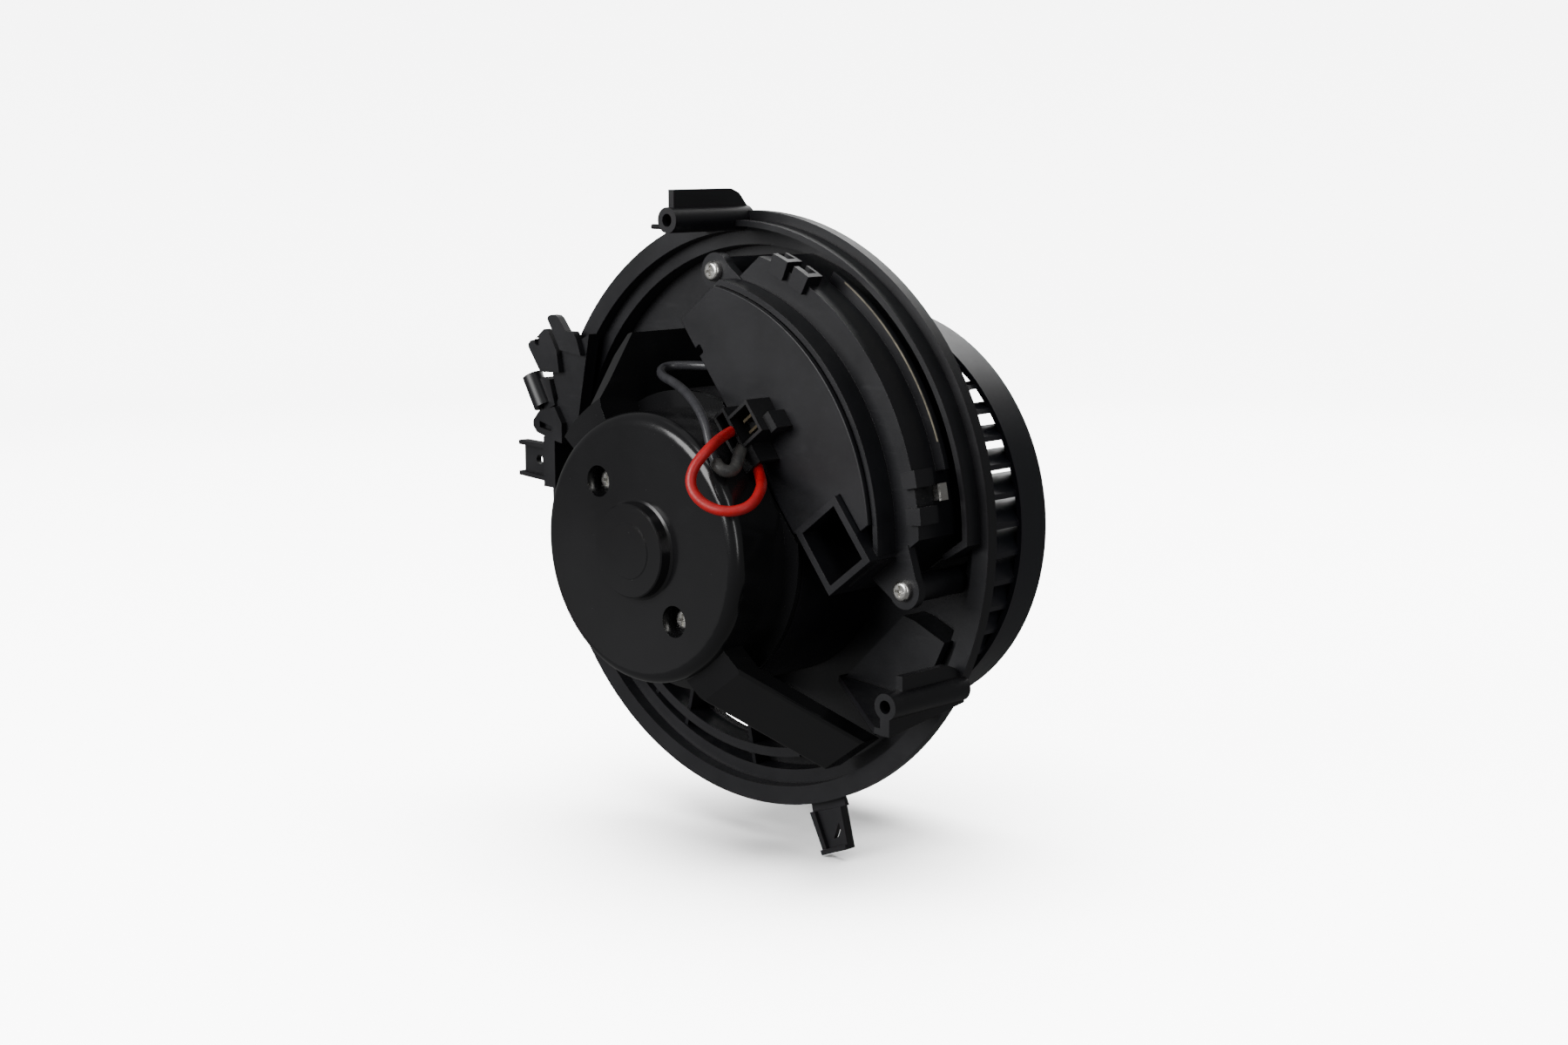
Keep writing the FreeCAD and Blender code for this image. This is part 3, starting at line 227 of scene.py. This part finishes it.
def glossy_cover(name):
    """Polished-tool moulding of the cap: soft gloss, slight waviness, faint rub marks and pinhead specks."""
    s = Shade(name, (0.012, 0.012, 0.014), 0.3)
    cloud = s.noise(22.0, 4.0, 0.55)
    tone = s.mix(s.span(cloud, 0.35, 0.7, 0.0, 1.0), (0.0072, 0.0072, 0.0078), (0.0108, 0.0108, 0.0118))
    speck = s.cells(210.0)
    tone = s.mix(s.span(speck, 0.014, 0.040, 0.6, 0.0), tone, SPECK)
    s.colour(tone)
    rub = s.noise(24.0, 3.0, 0.6, s.stretched((3.0, 1.0, 9.0)), 0.8)
    s.rough(s.maths("ADD", s.span(cloud, 0.3, 0.7, 0.17, 0.21), s.span(rub, 0.58, 0.78, 0.0, 0.05)))
    s.bump(s.noise(9.0, 1.0, 0.3), 0.00008, 0.4)
    return s.mat


def metal(name, colour, rough, brush=(1.0, 60.0, 1.0), depth=0.00001, tint=None, stain=0.5):
    """Bare or plated metal: drawn lines, cloudy tarnish and uneven polish."""
    s = Shade(name, colour, rough, metallic=1.0)
    other = tint or tuple(c * TARNISH_SHADE for c in colour)
    tarnish = s.noise(180.0, 5.0, 0.65)
    s.colour(s.mix(s.span(tarnish, 0.42, 0.75, 0.0, stain), colour, other))
    lines = s.noise(900.0, 3.0, 0.6, s.stretched(brush))
    s.rough(s.span(lines, 0.3, 0.7, rough * 0.75, rough * 1.35))
    s.bump(lines, depth, 0.5)
    return s.mat


def cast_metal(name, colour):
    """Die-cast metal: fine pits and a cloudy tone."""
    s = Shade(name, colour, 0.45, metallic=1.0)
    pits = s.noise(700.0, 4.0, 0.6)
    shaded = tuple(CAST_SHADE * c for c in colour)
    s.colour(s.mix(s.span(s.noise(60.0, 4.0), 0.35, 0.7, 0.0, 1.0), colour, shaded))
    s.rough(s.span(pits, 0.3, 0.7, 0.36, 0.58))
    s.bump(pits, 0.00004, 0.7)
    return s.mat


def powdery(name, colour, other, rough, grain=500.0, depth=0.00004):
    """Sintered, carbon or rubber surface: mottled, matte and grainy."""
    s = Shade(name, colour, rough, specular=0.35)
    mottle = s.noise(160.0, 5.0, 0.7)
    s.colour(s.mix(s.span(mottle, 0.35, 0.7, 0.0, 1.0), colour, other))
    s.rough(s.span(mottle, 0.3, 0.7, rough - 0.08, rough + 0.1))
    s.bump(s.noise(grain, 3.0, 0.6), depth, 0.7)
    return s.mat


def wound_copper(name):
    """Enamelled wire laid side by side, with painted shade in the grooves between wires and a painted
    highlight on their crests.
    """
    s = Shade(name, (0.42, 0.13, 0.04), 0.28, metallic=0.6, coat=0.5)
    strand_relief_and_painted_shade = s.bands(330.0, "X", 0.6)
    # painted shade in the grooves between wires and painted highlight on the wire crests, following the
    # relief
    s.colour(s.mix(strand_relief_and_painted_shade, (0.20, 0.05, 0.015), (0.62, 0.22, 0.07)))
    s.bump(strand_relief_and_painted_shade, 0.00022, 0.8)
    s.bump(s.noise(240.0, 3.0), 0.0001, 0.5)
    return s.mat


def solder_board(name):
    """Board with solder mask over copper tracks."""
    s = Shade(name, (0.01, 0.09, 0.03), 0.35, coat=0.3)
    tracks = s.span(s.cells(130.0, "DISTANCE_TO_EDGE"), 0.10, 0.13, 1.0, 0.0)
    s.colour(s.mix(tracks, (0.008, 0.075, 0.026), (0.03, 0.20, 0.07)))
    s.rough(s.span(s.noise(300.0), 0.3, 0.7, 0.28, 0.44))
    s.bump(tracks, 0.00004, 0.7)
    return s.mat


def insulation(name, colour, deep, rough):
    """Extruded sleeve: slight mottling, uneven gloss and a fine skin."""
    s = Shade(name, colour, rough)
    patch = s.noise(260.0, 4.0, 0.6)
    s.colour(s.mix(s.span(patch, 0.35, 0.7, 0.0, 1.0), colour, deep))
    s.rough(s.span(s.noise(900.0, 3.0), 0.3, 0.7, rough - 0.07, rough + 0.12))
    s.bump(s.noise(500.0, 3.0, 0.6), 0.00003, 0.6)
    return s.mat


M = {
    "filled_plastic": moulded_plastic("flange moulding", (0.0048, 0.0048, 0.0062), (0.0076, 0.0076, 0.0096),
                                      0.36, 0.48),
    "gloss_cover": glossy_cover("motor cover moulding"),
    "controller_plastic": moulded_plastic("controller moulding", (0.0050, 0.0050, 0.0066),
                                          (0.0074, 0.0074, 0.0098), 0.36, 0.46, 0.000003, 0.06),
    "wheel_plastic": moulded_plastic("wheel moulding", (0.0064, 0.0067, 0.0100), (0.0094, 0.0099, 0.0145),
                                     0.36, 0.46, 0.000003, 0.06),
    "plug_plastic": moulded_plastic("plug moulding", (0.0070, 0.0070, 0.0078), (0.0104, 0.0104, 0.0116),
                                    0.32, 0.42, 0.000003, 0.05),
    "zinc_steel": metal("zinc plated screws", (0.78, 0.77, 0.74), 0.26, (1.0, 1.0, 1.0), 0.000006,
                        (0.60, 0.60, 0.56)),
    "plated_steel": metal("plated motor steel", (0.52, 0.53, 0.54), 0.30, (1.0, 0.05, 1.0), 0.00001),
    "spring_steel": metal("spring steel", (0.60, 0.60, 0.58), 0.28, (1.0, 0.1, 1.0), 0.000008,
                          (0.36, 0.30, 0.24)),
    "ground_steel": metal("ground shaft", (0.70, 0.70, 0.71), 0.16, (1.0, 30.0, 1.0), 0.000004),
    "tinned_contacts": metal("tinned contacts", (0.085, 0.070, 0.045), 0.48, (1.0, 0.2, 1.0), 0.000006),
    "brass": metal("brush holder brass", (0.80, 0.58, 0.26), 0.30, (1.0, 0.2, 1.0), 0.000008,
                   (0.45, 0.28, 0.12)),
    "bronze": metal("oiled bronze", (0.48, 0.30, 0.16), 0.42, (1.0, 1.0, 1.0), 0.00002,
                    (0.24, 0.13, 0.06)),
    "copper": metal("commutator copper", (0.80, 0.40, 0.26), 0.26, (1.0, 40.0, 1.0), 0.000006,
                    (0.34, 0.15, 0.09)),
    "cast_aluminium": cast_metal("cast heat sink", (0.56, 0.57, 0.58)),
    "lamination_steel": metal("core laminations", (0.30, 0.30, 0.31), 0.42, (0.02, 3.0, 0.02), 0.00008),
    "enamelled_copper": wound_copper("armature windings"),
    "ferrite": powdery("ferrite", (0.045, 0.045, 0.048), (0.075, 0.073, 0.070), 0.62),
    "carbon": powdery("carbon brush", (0.022, 0.022, 0.023), (0.040, 0.038, 0.037), 0.50, 800.0),
    "rubber": powdery("isolator rubber", (0.012, 0.012, 0.012), (0.022, 0.021, 0.020), 0.70, 900.0),
    "phenolic": powdery("phenolic card", (0.16, 0.070, 0.028), (0.22, 0.105, 0.045), 0.52, 350.0),
    "epoxy": powdery("transistor case", (0.014, 0.014, 0.014), (0.024, 0.024, 0.024), 0.50, 900.0, 0.00002),
    "capacitor_can": metal("capacitor can", (0.62, 0.63, 0.66), 0.24, (1.0, 8.0, 1.0), 0.000006),
    "board": solder_board("circuit board"),
    "red_insulation": insulation("red sleeve", (0.48, 0.006, 0.009), (0.36, 0.004, 0.006), 0.42),
    "black_insulation": insulation("black sleeve", (0.028, 0.028, 0.032), (0.042, 0.042, 0.047), 0.32),
    "shrink_sleeve": powdery("shrink sleeve", (0.030, 0.030, 0.032), (0.085, 0.083, 0.076), 0.46,
                             900.0, 0.00003),
    # pale beige line round the controller rim, mottled dark in patches
    "seal_bead": powdery("rim bead", (0.30, 0.27, 0.20), (0.06, 0.055, 0.045), 0.50, 700.0, 0.00001),
}

SLOT_OF = {part["node"]: part["material_slot"] for part in frame["record"]["subparts"]}
BODIES = frame["record"]["behaviour"]["bodies"]
BODY_OF = {node: body for body, nodes in BODIES.items() for node in nodes}
for node, obj in NODES.items():
    obj.data.materials.clear()
    obj.data.materials.append(M[SLOT_OF[node]])


# ------------------------------------------------------------------ leads

def in_metres(place):
    return tuple(c * MM for c in place)


CURVE_ORDER = 3
CURVE_STEPS = 12
TUBE_STEPS = 6


def lead(name, route, radius, slot):
    """Smooth lead along its control points, standing for the CAD node of the same name."""
    curve = bpy.data.curves.new(name + "_line", "CURVE")
    curve.dimensions = "3D"
    spline = curve.splines.new("NURBS")
    spline.points.add(len(route) - 1)
    for point, place in zip(spline.points, route):
        point.co = (*in_metres(place), 1.0)
    spline.order_u = CURVE_ORDER
    spline.use_endpoint_u = True
    spline.resolution_u = CURVE_STEPS
    curve.bevel_depth = radius * MM
    curve.bevel_resolution = TUBE_STEPS
    curve.use_fill_caps = True
    curve.materials.append(M[slot])
    piece = bpy.data.objects.new(name + "_line", curve)
    bpy.context.scene.collection.objects.link(piece)
    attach(piece, "housing")
    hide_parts(name)
    return piece


# Control points and radii of the leads, in millimetres; the lengths and diameters are in metres.
RED_R, BLACK_R, SLEEVE_R = 1.8, 1.6, 2.1
SLEEVED = 4                            # control points of the black lead that the sleeve covers
RED_ROUTE = [
    (29.8, -36.6, 35.6), (33.2, -47.7, 34.5), (37.3, -59.2, 31.5), (34.6, -64.4, 25.2),
    (35.4, -66.6, 19.0), (40.8, -65.9, 13.8), (48.4, -63.0, 11.7), (53.5, -57.0, 13.4),
    (50.9, -49.0, 18.3), (42.8, -41.0, 20.4), (35.2, -36.8, 27.1),
]
BLACK_ROUTE = [
    (33.1, -38.5, 30.9), (37.2, -45.4, 28.6), (41.2, -51.4, 23.2), (38.8, -56.0, 23.7),
    (33.4, -54.4, 28.6), (27.9, -51.4, 38.0), (18.4, -47.6, 44.6), (5.1, -42.0, 48.5),
    (-9.4, -36.0, 50.1), (-14.1, -29.5, 52.5), (-6.6, -22.4, 52.6), (8.3, -18.2, 52.8),
    (21.4, -13.6, 55.0),
]
SLEEVE_END = tuple((a + b) / 2 for a, b in zip(BLACK_ROUTE[SLEEVED - 1], BLACK_ROUTE[SLEEVED]))
red = lead("red_lead", RED_ROUTE, RED_R, "red_insulation")
black = lead("black_lead", BLACK_ROUTE, BLACK_R, "black_insulation")
sleeve = lead("lead_sleeve", BLACK_ROUTE[:SLEEVED] + [SLEEVE_END], SLEEVE_R, "shrink_sleeve")


# ------------------------------------------------------------------ softened mouldings

WELD_GAP = 2e-6
DEGENERATE = 1e-6
FLAT_ANGLE = 0.5                       # degrees; faces closer to one plane than this are joined
CORNER_ANGLE = 28.0                    # degrees; sharper edges than this are rounded
CORNER_SEGMENTS = 2
CORNER_WIDTHS = {                      # millimetres
    "mounting_flange": 0.35, "motor_cover": 0.45, "controller_housing": 0.35, "controller_lid": 0.35,
    "motor_plug": 0.2, "fan_wheel": 0.25, "wheel_hub": 0.25, "heat_sink": 0.25,
}


def skin(node, width):
    """The node's own surface with its corners rounded as a mould leaves them."""
    mesh = NODES[node].data.copy()
    bm = bmesh.new()
    bm.from_mesh(mesh)
    bmesh.ops.remove_doubles(bm, verts=bm.verts, dist=WELD_GAP)
    bmesh.ops.dissolve_degenerate(bm, dist=DEGENERATE, edges=bm.edges)
    bmesh.ops.dissolve_limit(bm, angle_limit=math.radians(FLAT_ANGLE), verts=bm.verts, edges=bm.edges)
    for face in bm.faces:
        face.smooth = True
    bm.to_mesh(mesh)
    bm.free()
    piece = bpy.data.objects.new(node + "_moulding", mesh)
    bpy.context.scene.collection.objects.link(piece)
    bevel = piece.modifiers.new("corners", "BEVEL")
    bevel.width = width * MM
    bevel.segments = CORNER_SEGMENTS
    bevel.limit_method = "ANGLE"
    bevel.angle_limit = math.radians(CORNER_ANGLE)
    bevel.miter_outer = "MITER_ARC"
    even = piece.modifiers.new("even", "WEIGHTED_NORMAL")
    even.keep_sharp = True
    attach(piece, BODY_OF[node])
    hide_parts(node)


for node, width in CORNER_WIDTHS.items():
    skin(node, width)


# ------------------------------------------------------------------ stage

ROOM_LIGHT = 0.16
BACKDROP_LIGHT = 8.0
CENTRE = Vector((0.0, 0.0, 0.0))
LIGHTS = (                             # name, place, width and height, watts
    ("front", (-0.35, -1.45, 0.58), (1.0, 1.0), 29.0),
    ("low sheen", (-0.95, -1.15, -0.45), (1.0, 0.4), 0.25),
    ("edge", (1.30, -0.60, 0.50), (0.20, 1.2), 4.0),
    ("top", (0.1, 0.1, 1.3), (1.2, 1.2), 0.9),
    ("crest", (0.28, -0.5, 1.15), (0.30, 0.30), 1.1),
    ("back", (-0.4, 1.3, 0.7), (1.0, 1.0), 12.0),
)
FLOOR_WASH = ("floor wash", (0.0, 0.0, 3.0), (4.0, 4.0), 1500.0)
FLOOR_GAP = 0.0005
FLOOR_R = 1.5
SWEEP_R = 0.9
SWEEP_STEPS = 12
WALL_TOP = 3.2
ROUND_STEPS = 96
FLOOR_WELD = 1e-5
FLOOR_TONE = (0.90, 0.90, 0.90)


def area_light(name, place, size, power):
    """Rectangular light that faces the middle of the unit."""
    data = bpy.data.lights.new(name, "AREA")
    data.shape = "RECTANGLE"
    data.size, data.size_y = size
    data.energy = power
    lamp = bpy.data.objects.new(name, data)
    lamp.location = place
    lamp.rotation_euler = (CENTRE - Vector(place)).to_track_quat("-Z", "Y").to_euler()
    bpy.context.scene.collection.objects.link(lamp)
    return lamp


def make_cove():
    """Round studio floor that sweeps up into its wall."""
    low = cad_box[0].z - FLOOR_GAP
    profile = [(0.0, low), (FLOOR_R, low)]
    for k in range(1, SWEEP_STEPS + 1):
        turn = math.radians(90.0 * k / SWEEP_STEPS)
        profile.append((FLOOR_R + SWEEP_R * math.sin(turn), low + SWEEP_R * (1.0 - math.cos(turn))))
    profile.append((FLOOR_R + SWEEP_R, WALL_TOP))
    bm = bmesh.new()
    verts = [bm.verts.new((r, 0.0, z)) for r, z in profile]
    edges = [bm.edges.new(pair) for pair in zip(verts[:-1], verts[1:])]
    bmesh.ops.spin(bm, geom=verts + edges, cent=(0, 0, 0), axis=(0, 0, 1), dvec=(0, 0, 0),
                   angle=math.tau, steps=ROUND_STEPS, use_merge=True)
    bmesh.ops.remove_doubles(bm, verts=bm.verts, dist=FLOOR_WELD)
    bmesh.ops.recalc_face_normals(bm, faces=bm.faces)
    bmesh.ops.reverse_faces(bm, faces=bm.faces)
    for face in bm.faces:
        face.smooth = True
    mesh = bpy.data.meshes.new("floor")
    bm.to_mesh(mesh)
    bm.free()
    floor = bpy.data.objects.new("floor", mesh)
    bpy.context.scene.collection.objects.link(floor)
    s = Shade("studio floor", FLOOR_TONE, 0.7, specular=0.2)
    s.rough(s.span(s.noise(3.0), 0.3, 0.7, 0.65, 0.8))
    mesh.materials.append(s.mat)
    floor.visible_glossy = False
    floor.visible_diffuse = False
    return floor


def make_stage():
    """Floor, backdrop and lamps.  The backdrop is bright only where the camera sees it directly."""
    floor = make_cove()
    world = bpy.data.worlds.new("studio")
    world.use_nodes = True
    tree = world.node_tree
    room = tree.nodes["Background"]
    room.inputs["Color"].default_value = (1.0, 1.0, 1.0, 1.0)
    room.inputs["Strength"].default_value = ROOM_LIGHT
    backdrop = tree.nodes.new("ShaderNodeBackground")
    backdrop.inputs["Strength"].default_value = BACKDROP_LIGHT
    seen = tree.nodes.new("ShaderNodeLightPath")
    choose = tree.nodes.new("ShaderNodeMixShader")
    tree.links.new(seen.outputs["Is Camera Ray"], choose.inputs["Fac"])
    tree.links.new(room.outputs["Background"], choose.inputs[1])
    tree.links.new(backdrop.outputs["Background"], choose.inputs[2])
    tree.links.new(choose.outputs["Shader"], tree.nodes["World Output"].inputs["Surface"])
    bpy.context.scene.world = world
    for name, place, size, power in LIGHTS:
        area_light(name, place, size, power)
    only_floor = bpy.data.collections.new("floor only")
    only_floor.objects.link(floor)
    wash = area_light(*FLOOR_WASH)
    wash.light_linking.receiver_collection = only_floor


make_stage()
